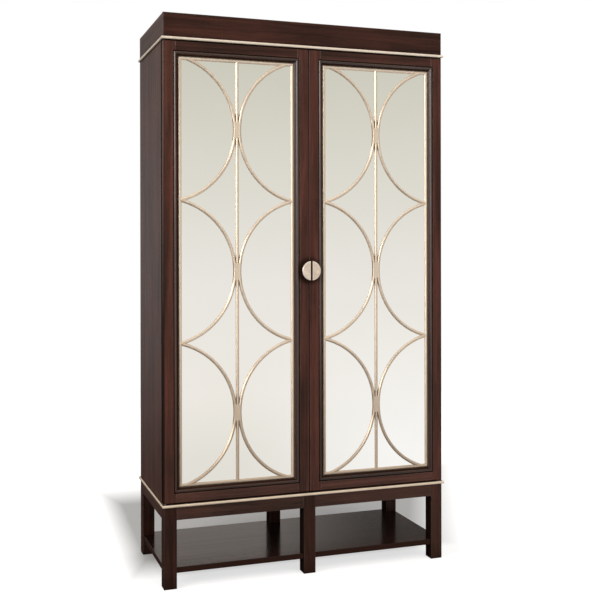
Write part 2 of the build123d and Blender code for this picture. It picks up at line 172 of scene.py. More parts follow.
def speckle(tree, vector, scale, detail=2.0, roughness=0.5, distortion=0.0):
    inputs = {"Vector": vector, "Scale": scale, "Detail": detail, "Roughness": roughness}
    return node(tree, "ShaderNodeTexNoise", {**inputs, "Distortion": distortion}).outputs[0]


def ramp(tree, factor, *stops):
    """Colour ramp; each stop is a place from 0 to 1 and a grey level or a colour."""
    made = node(tree, "ShaderNodeValToRGB", {"Fac": factor})
    elements = made.color_ramp.elements
    while len(elements) < len(stops):
        elements.new(0.5)
    for element, (place, colour) in zip(elements, stops):
        element.position = place
        element.color = (*colour, 1) if isinstance(colour, tuple) else (colour, colour, colour, 1)
    return made.outputs[0]


def mix(tree, factor, first, second, blend="MIX"):
    """Mix two colours, each a plain colour or a socket."""
    made = node(tree, "ShaderNodeMix", {0: factor}, data_type="RGBA", blend_type=blend)
    for index, value in ((6, first), (7, second)):
        if isinstance(value, bpy.types.NodeSocket):
            tree.links.new(value, made.inputs[index])
        else:
            made.inputs[index].default_value = (*value, 1)
    return made.outputs[2]


def spread(tree, value, low, high, new_low, new_high):
    inputs = {"Value": value, 1: low, 2: high, 3: new_low, 4: new_high}
    return node(tree, "ShaderNodeMapRange", inputs).outputs[0]


def fade(tree, value, start, end, top=1.0):
    """0 up to the start, rising evenly to its top at the end."""
    return spread(tree, value, start, end, 0.0, top)


def relief(tree, height, depth, strength=1.0, normal=None):
    inputs = {"Height": height, "Distance": depth, "Strength": strength}
    if normal:
        inputs["Normal"] = normal
    return node(tree, "ShaderNodeBump", inputs).outputs[0]


# Wood
grain_stretch = 0.035
figure_scale = 46
fibre_scale = 340
pore_scale = 1250
cloud_scale = 3.6
figure_share = 0.68
fibre_share = 0.32
pore_depth = 0.00012
edge_round = 0.003
# Near-black painted shade, for the door gaps, the side reveal, and the faces and feet of the legs
painted_shade_black = (0.0115, 0.0062, 0.0042)
# Umber on the door mouldings: glaze in the quirks, and painted shade in the coves, low down and on the level
# strips
glaze_and_shade_umber = (0.027, 0.0102, 0.0046)
edge_brown = (0.034, 0.0150, 0.0110)

# Where the wood is darkened with painted shade: its gaps and recesses, the door fronts round the pull, the
# legs and the mouldings
facing_share = 0.7  # least part of a normal along an axis for a face to look that way
reveal_width = 0.0185
# Painted shade in the gaps above and below the doors and along their hinge sides, there deepest low down
door_line = 0.0026
hinge_line = 0.003
hinge_line_foot = 0.8
hinge_line_top = 2.0
# Painted shadow of the pull on the door fronts
pull_shadow_reach = 0.062
pull_shadow_core = 0.045
pull_shadow_depth = 0.68
face_skin = 0.001
leg_outer_edge = 0.04
# Painted shade towards the feet of the legs, and a painted contact shadow along their soles
foot_shade_height = 0.07
sole_shadow_height = 0.004
quirk_width = 0.0031
cove_inset = 0.0149
averted_cove_inset = 0.0118
# Heights between which the mouldings darken with painted shade
shade_top = 1.5
shade_foot = 0.45


def strip_inset(tree, place, strips):
    """How far a point of a door's moulding lies from its outer edges, across and up."""
    low, high = strips
    inset = []
    for index, axis in ((0, "X"), (2, "Z")):
        reach = (high[index] - low[index]) / 2
        off_centre = maths(tree, "SUBTRACT", place[axis], (low[index] + high[index]) / 2)
        inset.append(maths(tree, "SUBTRACT", reach, maths(tree, "ABSOLUTE", off_centre)))
    return inset


def grain_vector(tree, grain):
    """Coordinates drawn out along the grain: an axis, or the four mitred strips of a door's moulding."""
    place = object_place(tree)
    if isinstance(grain, str):
        return mapped(tree, place, [grain_stretch if axis == grain else 1.0 for axis in "XYZ"])
    across, up = strip_inset(tree, separated(tree, place), grain)
    upright = maths(tree, "LESS_THAN", across, up)
    level_run = mapped(tree, place, (grain_stretch, 1, 1))
    upright_run = mapped(tree, place, (1, 1, grain_stretch))
    made = node(tree, "ShaderNodeMix", {0: upright, 4: level_run, 5: upright_run}, data_type="VECTOR")
    return made.outputs[1]


def stained_wood(
    name, grain, stain, sheen=(0.27, 0.42), gloss=0.14, redness=0.5, groove=None, tone_colour=painted_shade_black
):
    """Stained mahogany under lacquer: fibres, broad figure, reddish clouds and open pores.

    Where groove says so, the wood takes tone_colour and is dull: painted shade in most uses, a lighter front
    on the shelf.
    """
    material, tree, shader = new_material(name)
    dark, mid, red = stain
    run = grain_vector(tree, grain)
    figure = speckle(tree, run, figure_scale, 4, 0.6, 0.7)
    fibre = speckle(tree, run, fibre_scale, 5, 0.65)
    pores = ramp(tree, speckle(tree, run, pore_scale, 2, 0.5), (0.60, 0.0), (0.68, 1.0))
    clouds = speckle(tree, object_place(tree), cloud_scale, 3, 0.6)
    clouds = ramp(tree, clouds, (0.42, 0.0), (0.68, redness))
    broad = maths(tree, "MULTIPLY", figure, figure_share)
    streak = maths(tree, "ADD", broad, maths(tree, "MULTIPLY", fibre, fibre_share))
    colour = ramp(tree, streak, (0.38, dark), (0.51, mid), (0.64, red))
    colour = mix(tree, clouds, colour, red)
    colour = mix(tree, maths(tree, "MULTIPLY", pores, 0.55), colour, tuple(0.35 * tone for tone in dark))
    lacquer = spread(tree, fibre, 0.3, 0.7, *sheen)
    lacquer = maths(tree, "ADD", lacquer, maths(tree, "MULTIPLY", pores, 0.12))
    eased = node(tree, "ShaderNodeBevel", {"Radius": edge_round}, samples=4).outputs[0]
    level = node(tree, "ShaderNodeNewGeometry").outputs["Normal"]
    turned = node(tree, "ShaderNodeVectorMath", {0: eased, 1: level}, operation="DOT_PRODUCT").outputs[1]
    shine = spread(tree, turned, 1.0, 0.92, gloss, 1.0)
    shine = maths(tree, "MULTIPLY", shine, spread(tree, streak, 0.38, 0.64, 0.8, 1.2))
    # Mostly painted shade: colour and gloss taken down where the mask says so
    if groove:
        inside = groove(tree, separated(tree, object_place(tree)))
        colour = mix(tree, inside, colour, tone_colour)
        shine = maths(tree, "MULTIPLY", shine, spread(tree, inside, 0.0, 0.75, 1.0, 0.03))
    surface = maths(tree, "SUBTRACT", maths(tree, "MULTIPLY", fibre, 0.35), pores)
    feed(
        tree,
        shader,
        Base_Color=colour,
        Specular_IOR_Level=shine,
        Roughness=lacquer,
        Normal=relief(tree, surface, pore_depth, 0.35, eased),
    )
    return material


def side_reveal(tree, place):
    """Painted shade: the recess along the front edge of a side panel, stained near-black."""
    return maths(tree, "LESS_THAN", place["Y"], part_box("left_side")[0].y + reveal_width)


def door_edges(tree, place):
    """Painted shade: a dark line round the doors, except between them, deepest low down at the hinge side,
    and a painted shadow on the fronts round the pull.
    """
    low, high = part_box("left_door_hinge_stile")
    above = maths(tree, "GREATER_THAN", place["Z"], high.z - door_line)
    below = maths(tree, "LESS_THAN", place["Z"], low.z + door_line)
    aside = maths(tree, "GREATER_THAN", maths(tree, "ABSOLUTE", place["X"]), -low.x - hinge_line)
    aside_shade = spread(tree, place["Z"], hinge_line_foot, hinge_line_top, 0.95, 0.0)
    aside = maths(tree, "MULTIPLY", aside, aside_shade)
    # Painted shadow of the pull on the door fronts round it
    pull_low, pull_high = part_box("right_pull")
    aloft = maths(tree, "SUBTRACT", place["Z"], (pull_low.z + pull_high.z) / 2)
    from_pull = distance(tree, place["X"], aloft)
    pull_shadow = fade(tree, from_pull, pull_shadow_reach, pull_shadow_core, pull_shadow_depth)
    in_front = maths(tree, "LESS_THAN", place["Y"], low.y + face_skin)
    return greatest(tree, above, below, aside, maths(tree, "MULTIPLY", pull_shadow, in_front))


def front_wear(tree, place):
    """Lacquer of the stand's shelf, lighter and less glossy towards the front and on its upright edges."""
    low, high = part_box("stand_shelf")
    worn = fade(tree, place["Y"], high.y, low.y, 0.4)
    upright = maths(tree, "LESS_THAN", face_way(tree)["Z"], facing_share)
    return greatest(tree, worn, maths(tree, "MULTIPLY", upright, 0.9))


def inner_faces(tree, place):
    """Painted shade on the faces of the legs that look across the open stand and towards their feet, and a
    painted contact shadow under their soles.
    """
    sideways = maths(tree, "ABSOLUTE", face_way(tree)["X"])
    between = maths(tree, "LESS_THAN", maths(tree, "ABSOLUTE", place["X"]), cad_high.x - leg_outer_edge)
    across = maths(tree, "MULTIPLY", maths(tree, "GREATER_THAN", sideways, facing_share), between)
    foot_shade = fade(tree, place["Z"], foot_shade_height, 0.0, 0.4)
    sole_shadow = maths(tree, "MULTIPLY", maths(tree, "LESS_THAN", place["Z"], sole_shadow_height), 0.9)
    return greatest(tree, across, foot_shade, sole_shadow)


def moulding_grooves(strips):
    """Umber glaze and painted shade in the quirk round a door's moulding and in its inner cove, deepest on
    the left upright strip, which is turned from the light; painted shade also low down and on the level
    strips.
    """

    def groove(tree, place):
        across, up = strip_inset(tree, place, strips)
        inset = maths(tree, "MINIMUM", across, up)
        quirk = maths(tree, "LESS_THAN", inset, quirk_width)
        to_left = maths(tree, "LESS_THAN", place["X"], (strips[0].x + strips[1].x) / 2)
        upright = maths(tree, "LESS_THAN", across, up)
        # The left upright strip is turned from the light and takes the deepest painted shade in its cove
        averted = maths(tree, "MULTIPLY", upright, to_left)
        cove_edge = spread(tree, averted, 0.0, 1.0, cove_inset, averted_cove_inset)
        shade = greatest(tree, averted, spread(tree, upright, 0.0, 1.0, 0.8, 0.4))
        cove = maths(tree, "MULTIPLY", maths(tree, "GREATER_THAN", inset, cove_edge), shade)
        # Painted shade, darker and duller low down and on the level strips
        low_down = fade(tree, place["Z"], shade_top, shade_foot, 0.42)
        level = spread(tree, upright, 0.0, 1.0, 0.26, 0.0)
        return greatest(tree, quirk, cove, low_down, level)

    return groove


# Stains, from the dark to the red of the figure
door_brown = ((0.031, 0.0124, 0.0088), (0.064, 0.0244, 0.0166), (0.114, 0.0375, 0.0250))
door_red = ((0.033, 0.0126, 0.0089), (0.069, 0.0250, 0.0170), (0.120, 0.0385, 0.0256))
rail_brown = ((0.037, 0.0164, 0.0120), (0.071, 0.0306, 0.0220), (0.113, 0.0445, 0.0310))
case_brown = ((0.022, 0.0090, 0.0064), (0.045, 0.0180, 0.0122), (0.080, 0.0270, 0.0180))
cornice_brown = ((0.017, 0.0060, 0.0038), (0.035, 0.0120, 0.0075), (0.064, 0.0195, 0.0120))
apron_brown = ((0.022, 0.0104, 0.0074), (0.046, 0.0210, 0.0147), (0.080, 0.0325, 0.0222))
leg_brown = ((0.013, 0.0050, 0.0034), (0.029, 0.0108, 0.0070), (0.055, 0.0182, 0.0118))
# Lighter stain of the front right leg: painted light
painted_light_leg = ((0.020, 0.0092, 0.0063), (0.043, 0.0190, 0.0126), (0.078, 0.0300, 0.0200))
shelf_brown = ((0.005, 0.0022, 0.0015), (0.010, 0.0042, 0.0029), (0.019, 0.0072, 0.0050))
inner_brown = ((0.045, 0.022, 0.014), (0.082, 0.041, 0.027), (0.125, 0.060, 0.038))
board_brown = ((0.062, 0.034, 0.021), (0.104, 0.058, 0.038), (0.150, 0.084, 0.055))


# Gilding and metals
# Darker gilding, painted shade low on the fretwork
low_shade_gilt = (0.48, 0.365, 0.270)
# Lighter gilding, a painted highlight on the pull's rim
highlight_gilt = (0.95, 0.850, 0.735)

# Where the gilding takes painted shade low down, a painted highlight at the pull's rim, or umber glaze and
# painted shade
low_shade_top = 1.05
low_shade_foot = 0.45
foot_rise = 0.0014
cleft_rise = 0.0042
cleft_floor = 0.0030
bead_nose = 0.0055
bead_back = 0.0035
rim_width = 0.0042
rim_core = 0.0026
# Painted shade along the split of the pull
split_width = 0.0020
split_core = 0.0012
rim_turn = (0.0014, 0.0024)  # where the pull's face turns into its edge, behind the face


def gilding(name, light, deep, umber, shaded, bright=None, low_shade=None, wear=0.12, dimple=0.1):
    """Champagne gilding rubbed over a warm ground, with umber where shaded says so: umber glaze and painted
    shade.

    It takes a painted highlight where bright says so, and painted shade low down where low_shade does.
    """
    material, tree, shader = new_material(name)
    place = object_place(tree)
    cloud = speckle(tree, place, 38, 4, 0.6)
    grain = speckle(tree, place, 300, 3, 0.55)
    leaf = ramp(tree, cloud, (0.32, deep), (0.62, light))
    rubbed = ramp(tree, grain, (0.30, 1.0), (0.42, 0.0))
    leaf = mix(tree, maths(tree, "MULTIPLY", rubbed, wear), leaf, umber)
    parts = separated(tree, place)
    if bright:
        leaf = mix(tree, bright(tree, parts), leaf, highlight_gilt)
    if low_shade:
        leaf = mix(tree, low_shade(tree, parts), leaf, low_shade_gilt)
    dull = shaded(tree, parts)
    feed(
        tree,
        shader,
        Base_Color=mix(tree, dull, leaf, umber),
        Metallic=spread(tree, dull, 0.0, 1.0, 0.7, 0.0),
        Specular_IOR_Level=spread(tree, dull, 0.0, 1.0, 0.5, 0.0),
        Roughness=greatest(tree, spread(tree, cloud, 0.3, 0.7, 0.30, 0.42), dull),
        Normal=relief(tree, grain, 0.00025, dimple),
    )
    return material


def bar_foot(tree, place):
    """Umber glaze and painted shade at the foot of the bars, on the glass, and painted shade in the clefts
    above and below the ties.
    """
    glass_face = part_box("left_door_mirror")[0].y
    foot = fade(tree, place["Y"], glass_face - foot_rise, glass_face, 0.9)
    low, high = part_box("right_door_fretwork")
    spacing = (high.z - low.z) / fret_rows
    row = maths(tree, "DIVIDE", maths(tree, "SUBTRACT", place["Z"], low.z), spacing)
    off_tie = maths(tree, "ABSOLUTE", maths(tree, "SUBTRACT", maths(tree, "FRACT", row), 0.5))
    near_tie = fade(tree, off_tie, cleft_end / spacing, 0.8 * cleft_end / spacing, 0.95)
    off_bar = maths(tree, "SUBTRACT", maths(tree, "ABSOLUTE", place["X"]), (low.x + high.x) / 2)
    near_bar = maths(tree, "LESS_THAN", maths(tree, "ABSOLUTE", off_bar), 2 * arc_spacing)
    deep = fade(tree, place["Y"], glass_face - cleft_rise, glass_face - cleft_floor)
    cleft = maths(tree, "MULTIPLY", maths(tree, "MULTIPLY", near_tie, near_bar), deep)
    return greatest(tree, foot, cleft)


def low_bars(tree, place):
    """Painted shade: darker gilding towards the foot of the fretwork."""
    return fade(tree, place["Z"], low_shade_top, low_shade_foot, 0.7)


def bead_root(tree, place):
    """Painted shade: umber behind the nose of a bead, next to the wood."""
    low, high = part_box("stand_deck")
    ahead = maths(tree, "SUBTRACT", low.y, place["Y"])
    aside = maths(tree, "SUBTRACT", maths(tree, "ABSOLUTE", place["X"]), high.x)
    return fade(tree, greatest(tree, ahead, aside), bead_nose, bead_back, 0.95)


def pull_rim(tree, place):
    """Painted highlight: lighter gilding on the edge of each half of the pull, round the rim and along the
    split.
    """
    low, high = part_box("right_pull")
    aside = maths(tree, "ABSOLUTE", place["X"])
    aloft = maths(tree, "SUBTRACT", place["Z"], (low.z + high.z) / 2)
    from_rim = maths(tree, "SUBTRACT", high.x, distance(tree, aside, aloft))
    from_split = maths(tree, "SUBTRACT", aside, low.x)
    return fade(tree, maths(tree, "MINIMUM", from_rim, from_split), rim_width, rim_core, 0.9)


def pull_back(tree, place):
    """Painted shade: umber along the split and round the edge behind the face of the pull, thinner on its
    back and posts.
    """
    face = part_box("left_pull")[0].y
    behind = fade(tree, place["Y"], face + rim_turn[0], face + rim_turn[1])
    back = face + pull_thickness
    thinner = spread(tree, place["Y"], back - face_skin, back, 1.0, 0.45)
    from_split = maths(tree, "SUBTRACT", maths(tree, "ABSOLUTE", place["X"]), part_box("right_pull")[0].x)
    split = fade(tree, from_split, split_width, split_core)
    return greatest(tree, maths(tree, "MULTIPLY", behind, thinner), split)


def silvered_glass(name):
    """Silvered plate glass with a faint warm cast."""
    material, tree, shader = new_material(name)
    place = object_place(tree)
    haze = speckle(tree, place, 6, 3, 0.5)
    silver = ramp(tree, haze, (0.3, (0.925, 0.912, 0.880)), (0.7, (0.935, 0.922, 0.892)))
    feed(tree, shader, Base_Color=silver, Roughness=spread(tree, haze, 0.3, 0.7, 0.006, 0.016))
    settle(shader, Metallic=1.0)
    return material


def drawn_metal(name, light, deep, rough, axis):
    """Metal with fine draw lines along one axis."""
    material, tree, shader = new_material(name)
    run = mapped(tree, object_place(tree), [0.02 if letter == axis else 1.0 for letter in "XYZ"])
    lines = speckle(tree, run, 1600, 3, 0.6)
    feed(
        tree,
        shader,
        Base_Color=ramp(tree, lines, (0.3, deep), (0.7, light)),
        Roughness=spread(tree, lines, 0.3, 0.7, *rough),
        Normal=relief(tree, lines, 0.00008, 0.2),
    )
    settle(shader, Metallic=1.0)
    return material


def moulded_case(name):
    """Dark moulded body of a magnetic catch."""
    material, tree, shader = new_material(name)
    pebble = speckle(tree, object_place(tree), 900, 2, 0.5)
    feed(
        tree,
        shader,
        Base_Color=ramp(tree, pebble, (0.3, (0.030, 0.022, 0.018)), (0.7, (0.046, 0.034, 0.028))),
        Roughness=spread(tree, pebble, 0.3, 0.7, 0.42, 0.58),
        Normal=relief(tree, pebble, 0.0001, 0.4),
    )
    return material


# Mesh helpers
def new_piece(name, made, material, crease=38):
    """Object at the origin made from a bmesh, faces outward, smooth apart from its creases."""
    mesh = bpy.data.meshes.new(name)
    bmesh.ops.remove_doubles(made, verts=made.verts, dist=1e-6)
    bmesh.ops.recalc_face_normals(made, faces=made.faces)
    made.to_mesh(mesh)
    made.free()
    mesh.shade_smooth()
    mesh.set_sharp_from_angle(angle=radians(crease))
    mesh.materials.append(material)
    piece = bpy.data.objects.new(name, mesh)
    bpy.context.scene.collection.objects.link(piece)
    return piece


def loft(made, loops, closed=False):
    """Quads between vertex loops of equal length."""
    count = len(loops[0])
    pairs = list(zip(loops, loops[1:]))
    if closed:
        pairs.append((loops[-1], loops[0]))
    for near, far in pairs:
        for index in range(count):
            after = (index + 1) % count
            made.faces.new((near[index], near[after], far[after], far[index]))


# Fretwork
def fret_frame(half_width, half_height, bar_height):
    """Mitred ridged frame, drawn flat: X across, Y up, Z towards the viewer."""
    made = bmesh.new()
    corners = ((-1, -1), (1, -1), (1, 1), (-1, 1))
    loops = []
    for step in range(bar_steps + 1):
        turn = pi * step / bar_steps
        inset = bar_width / 2 * (1 - copysign(abs(cos(turn)) ** ridge_power, cos(turn)))
        rise = bar_height * abs(sin(turn)) ** ridge_power
        loops.append(
            [made.verts.new((x * (half_width - inset), y * (half_height - inset), rise)) for x, y in corners]
        )
    loft(made, loops, closed=True)
    mesh = bpy.data.meshes.new("fret_frame")
    made.to_mesh(mesh)
    made.free()
    return mesh


fret_inputs = (
    ("Bar width", "NodeSocketFloat"),
    ("Bar height", "NodeSocketFloat"),
    ("Frame height", "NodeSocketFloat"),
    ("Rows", "NodeSocketInt"),
    ("Row spacing", "NodeSocketFloat"),
    ("Arc radius", "NodeSocketFloat"),
    ("Arc half angle", "NodeSocketFloat"),
    ("Arc spacing", "NodeSocketFloat"),
    ("Tie height", "NodeSocketFloat"),
    ("Place", "NodeSocketVector"),
    ("Gilding", "NodeSocketMaterial"),
)


def fret_tree():
    """Centre bar, facing arcs and ties, added to the frame and stood up in the door."""
    tree = bpy.data.node_groups.new("gilt_fretwork", "GeometryNodeTree")
    face = tree.interface
    face.new_socket("Frame", in_out="INPUT", socket_type="NodeSocketGeometry")
    keys = {}
    for name, kind in fret_inputs:
        keys[name] = face.new_socket(name, in_out="INPUT", socket_type=kind).identifier
    face.new_socket("Fretwork", in_out="OUTPUT", socket_type="NodeSocketGeometry")
    given = node(tree, "NodeGroupInput").outputs
    position = node(tree, "GeometryNodeInputPosition").outputs[0]
    place = separated(tree, position)

    def vector(x=0.0, y=0.0, z=0.0):
        return node(tree, "ShaderNodeCombineXYZ", {"X": x, "Y": y, "Z": z}).outputs[0]

    def moved(geometry, shift=(0, 0, 0), turn=(0, 0, 0), scale=(1, 1, 1)):
        inputs = {"Geometry": geometry, "Translation": shift, "Rotation": turn, "Scale": scale}
        return node(tree, "GeometryNodeTransform", inputs).outputs[0]

    def set_at(geometry, position):
        return node(tree, "GeometryNodeSetPosition", {"Geometry": geometry, "Position": position}).outputs[0]

    def joined(*parts):
        made = node(tree, "GeometryNodeJoinGeometry")
        for part in reversed(parts):
            tree.links.new(part, made.inputs[0])
        return made.outputs[0]

    def realised(geometry):
        return node(tree, "GeometryNodeRealizeInstances", {"Geometry": geometry}).outputs[0]

    def sharpened(value):
        size = maths(tree, "POWER", maths(tree, "ABSOLUTE", value), ridge_power)
        return maths(tree, "MULTIPLY", maths(tree, "SIGN", value), size)

    section = node(
        tree,
        "GeometryNodeCurveArc",
        {"Resolution": bar_steps + 1, "Radius": 1.0, "Start Angle": pi, "Sweep Angle": pi},
        mode="RADIUS",
    ).outputs[0]
    section = node(tree, "GeometryNodeSetSplineCyclic", {"Geometry": section, "Cyclic": True}).outputs[0]
    section = set_at(section, vector(sharpened(place["X"]), sharpened(place["Y"])))
    half_bar = maths(tree, "MULTIPLY", given["Bar width"], 0.5)
    section = moved(section, scale=vector(half_bar, given["Bar height"], 1.0))

    def swept(path):
        level = node(tree, "GeometryNodeSetCurveNormal", {"Curve": path}, mode="Z_UP").outputs[0]
        inputs = {"Curve": level, "Profile Curve": section, "Fill Caps": True}
        return node(tree, "GeometryNodeCurveToMesh", inputs).outputs[0]

    frame_line = maths(tree, "SUBTRACT", maths(tree, "MULTIPLY", given["Frame height"], 0.5), half_bar)
    ends = {"Start": vector(0.0, maths(tree, "MULTIPLY", frame_line, -1.0)), "End": vector(0.0, frame_line)}
    upright = node(tree, "GeometryNodeCurvePrimitiveLine", ends).outputs[0]
    centre_bar = moved(swept(upright), (0, 0, -centre_bar_sink))

    row_span = maths(tree, "MULTIPLY", maths(tree, "SUBTRACT", given["Rows"], 1.0), given["Row spacing"])
    first_row = vector(0.0, maths(tree, "MULTIPLY", row_span, -0.5), 0.0)
    row_step = vector(0.0, given["Row spacing"], 0.0)
    line = {"Count": given["Rows"], "Start Location": first_row, "Offset": row_step}
    row_points = node(tree, "GeometryNodeMeshLine", line, mode="OFFSET").outputs[0]

    def on_rows(geometry):
        inputs = {"Points": row_points, "Instance": geometry}
        return realised(node(tree, "GeometryNodeInstanceOnPoints", inputs).outputs[0])

    sweep = maths(tree, "MULTIPLY", given["Arc half angle"], 2.0)
    start = maths(tree, "MULTIPLY", given["Arc half angle"], -1.0)
    arc = node(
        tree,
        "GeometryNodeCurveArc",
        {"Resolution": arc_steps, "Radius": given["Arc radius"], "Start Angle": start, "Sweep Angle": sweep},
        mode="RADIUS",
    ).outputs[0]
    arc_centre = maths(tree, "ADD", given["Arc radius"], given["Arc spacing"])
    left_arc = moved(arc, vector(maths(tree, "MULTIPLY", arc_centre, -1.0)))
    right_arc = moved(left_arc, turn=(0, 0, pi))
    arcs = on_rows(joined(left_arc, right_arc))
    past_frame = maths(tree, "GREATER_THAN", maths(tree, "ABSOLUTE", place["Y"]), frame_line)
    trim = {"Geometry": arcs, "Selection": past_frame}
    arcs = swept(node(tree, "GeometryNodeDeleteGeometry", trim, domain="POINT").outputs[0])

    radius_squared = maths(tree, "MULTIPLY", given["Arc radius"], given["Arc radius"])
    height_squared = maths(tree, "MULTIPLY", place["Y"], place["Y"])
    chord = maths(tree, "SQRT", maths(tree, "SUBTRACT", radius_squared, height_squared))
    waist = maths(tree, "ADD", maths(tree, "SUBTRACT", arc_centre, chord), tie_lap)
    tie_rise = maths(tree, "SUBTRACT", given["Bar height"], tie_sink)
    cube = {"Size": vector(2.0, given["Tie height"], tie_rise), "Vertices X": 5, "Vertices Y": tie_steps}
    tie = node(tree, "GeometryNodeMeshCube", cube).outputs[0]
    tie = moved(tie, vector(0.0, 0.0, maths(tree, "MULTIPLY", tie_rise, 0.5)))
    tie = set_at(tie, vector(maths(tree, "MULTIPLY", place["X"], waist), place["Y"], place["Z"]))
    ties = on_rows(tie)

    lattice = moved(joined(given["Frame"], centre_bar, arcs, ties), given["Place"], (pi / 2, 0, 0))
    inputs = {"Geometry": realised(lattice), "Material": given["Gilding"]}
    node(tree, "NodeGroupOutput", {0: node(tree, "GeometryNodeSetMaterial", inputs).outputs[0]})
    return tree, keys


def fretwork(side, tree, keys, material):
    """Gilt fretwork of one door, grown from its frame."""
    low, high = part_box(f"{side}_door_fretwork")
    middle = (low + high) / 2
    half_width = (high.x - low.x) / 2
    half_height = (high.z - low.z) / 2
    bar_height = high.y - low.y
    spacing = 2 * half_height / fret_rows
    rise = half_width - bar_width / 2 - arc_spacing
    radius = ((spacing / 2) ** 2 + rise**2) / (2 * rise)
    sizes = {
        "Bar width": bar_width,
        "Bar height": bar_height,
        "Frame height": 2 * half_height,
        "Rows": fret_rows,
        "Row spacing": spacing,
        "Arc radius": radius,
        "Arc half angle": atan2(spacing / 2, radius - rise),
        "Arc spacing": arc_spacing,
        "Tie height": tie_height,
        "Place": (middle.x, high.y, middle.z),
        "Gilding": material,
    }
    pattern = bpy.data.objects.new(f"{side}_fret_pattern", fret_frame(half_width, half_height, bar_height))
    bpy.context.scene.collection.objects.link(pattern)
    grown = pattern.modifiers.new("gilt_fretwork", "NODES")
    grown.node_group = tree
    for name, value in sizes.items():
        grown[keys[name]] = value
    lookup = bpy.context.evaluated_depsgraph_get()
    grown_mesh = bpy.data.meshes.new_from_object(pattern.evaluated_get(lookup))
    bpy.data.objects.remove(pattern)
    made = bmesh.new()
    made.from_mesh(grown_mesh)
    bpy.data.meshes.remove(grown_mesh)
    piece = new_piece(f"{side}_fretwork_gilt", made, material)
    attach(piece, f"{side}_door")
    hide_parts(f"{side}_door_fretwork")


# Pulls
def pull_half(side, material):
    """Half disc with a bevelled rim and hammer marks, on a turned post."""
    low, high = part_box(f"{side}_pull")
    way = sides[side]
    radius = max(abs(low.x), abs(high.x))
    straight = min(abs(low.x), abs(high.x))
    centre_z = (low.z + high.z) / 2
    front, door_face = low.y, high.y
    rear = front + pull_thickness
    tip = asin(sqrt(radius**2 - straight**2) / radius)
    made = bmesh.new()

    def face_depth(x, z):
        edge = max(0.0, min(x - straight, radius - hypot(x, z)))
        share = min(1.0, edge / pull_bevel)
        bevel = pull_bevel * bevel_drop * (1 - sin(share * pi / 2))
        mark = noise.cell_vector((x / hammer_pitch, way, z / hammer_pitch))
        layer = way * hammer_shift + mark.x * hammer_stagger
        dent = noise.noise((x / hammer_pitch, layer, z / hammer_pitch))
        return front + bevel + hammer_depth * share * (0.5 + 0.5 * dent)

    grid = []
    for row in range(pull_rows + 1):
        z = radius * sin(tip * (2 * row / pull_rows - 1))
        reach = max(straight, sqrt(max(0.0, radius**2 - z**2)))
        line = []
        for column in range(pull_columns + 1):
            x = straight + (reach - straight) * column / pull_columns
            line.append(made.verts.new((way * x, face_depth(x, z), centre_z + z)))
        grid.append(line)
    for near, far in zip(grid, grid[1:]):
        for column in range(pull_columns):
            made.faces.new((near[column], near[column + 1], far[column + 1], far[column]))
    rim = [line[-1] for line in grid] + [line[0] for line in reversed(grid)]
    back = [made.verts.new((vertex.co.x, rear, vertex.co.z)) for vertex in rim]
    loft(made, [rim, back])
    made.faces.new(back)

    foot_top = door_face - post_foot_height
    turning = (
        (post_foot_radius, door_face),
        (post_foot_radius, door_face - post_foot_height * post_foot_edge),
        (post_radius + post_neck_flare, foot_top),
        (post_radius, foot_top - post_neck_height),
        (post_radius, rear + post_head_height),
        (post_radius + post_head_flare, rear),
    )
    rings = []
    for ring_radius, y in turning:
        ring = []
        for step in range(post_sides):
            turn = 2 * pi * step / post_sides
            x = way * post_offset + ring_radius * cos(turn)
            ring.append(made.verts.new((x, y, centre_z + ring_radius * sin(turn))))
        rings.append(ring)
    loft(made, rings)
    made.faces.new(rings[0])
    made.faces.new(rings[-1])
    piece = new_piece(f"{side}_pull_half", made, material)
    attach(piece, f"{side}_door")
    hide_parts(f"{side}_pull")


# Finishes of the CAD pieces
def dress(material, *names):
    """Give CAD nodes a material."""
    for name in names:
        mesh = nodes[name].data
        mesh.materials.clear()
        mesh.materials.append(material)


def each(pattern, words):
    """Names made from a pattern and a list of words."""
    return [pattern.format(word) for word in words]


stile_wood = {}
for side, stain in (("left", door_brown), ("right", door_red)):
    stile_wood[side] = stained_wood(f"{side}_stile_mahogany", "Z", stain, groove=door_edges)
# The top rails take the darker case stain: painted shade under the cornice and bead
shaded_top_rail_wood = stained_wood("shaded_top_rail_mahogany", "X", case_brown, groove=door_edges)
bottom_rail_wood = stained_wood("bottom_rail_mahogany", "X", rail_brown, groove=door_edges)
cornice_wood = {axis: stained_wood(f"cornice_mahogany_{axis.lower()}", axis, cornice_brown) for axis in "XYZ"}
apron_wood = {axis: stained_wood(f"apron_mahogany_{axis.lower()}", axis, apron_brown) for axis in "XY"}
leg_wood = stained_wood("leg_mahogany", "Z", leg_brown, gloss=0.1, groove=inner_faces)
painted_light_leg_wood = stained_wood("painted_light_leg_mahogany", "Z", painted_light_leg, gloss=0.1, groove=inner_faces)
shelf_wood = stained_wood(
    "shelf_mahogany",
    "X",
    shelf_brown,
    sheen=(0.09, 0.16),
    gloss=0.36,
    groove=front_wear,
    tone_colour=edge_brown,
)
side_wood = stained_wood("case_mahogany", "Z", case_brown, groove=side_reveal)
inner_wood = stained_wood("inner_veneer", "X", inner_brown, sheen=(0.4, 0.55))
back_board = stained_wood("stained_board", "Z", board_brown, sheen=(0.5, 0.65), redness=0.3)
# Umber of the beads: their rubbed ground, and painted shade behind their noses
bead_umber = (0.05, 0.030, 0.018)
lower_gilt = gilding("lower_bead_gilding", (0.90, 0.745, 0.585), (0.80, 0.645, 0.490), bead_umber, bead_root)
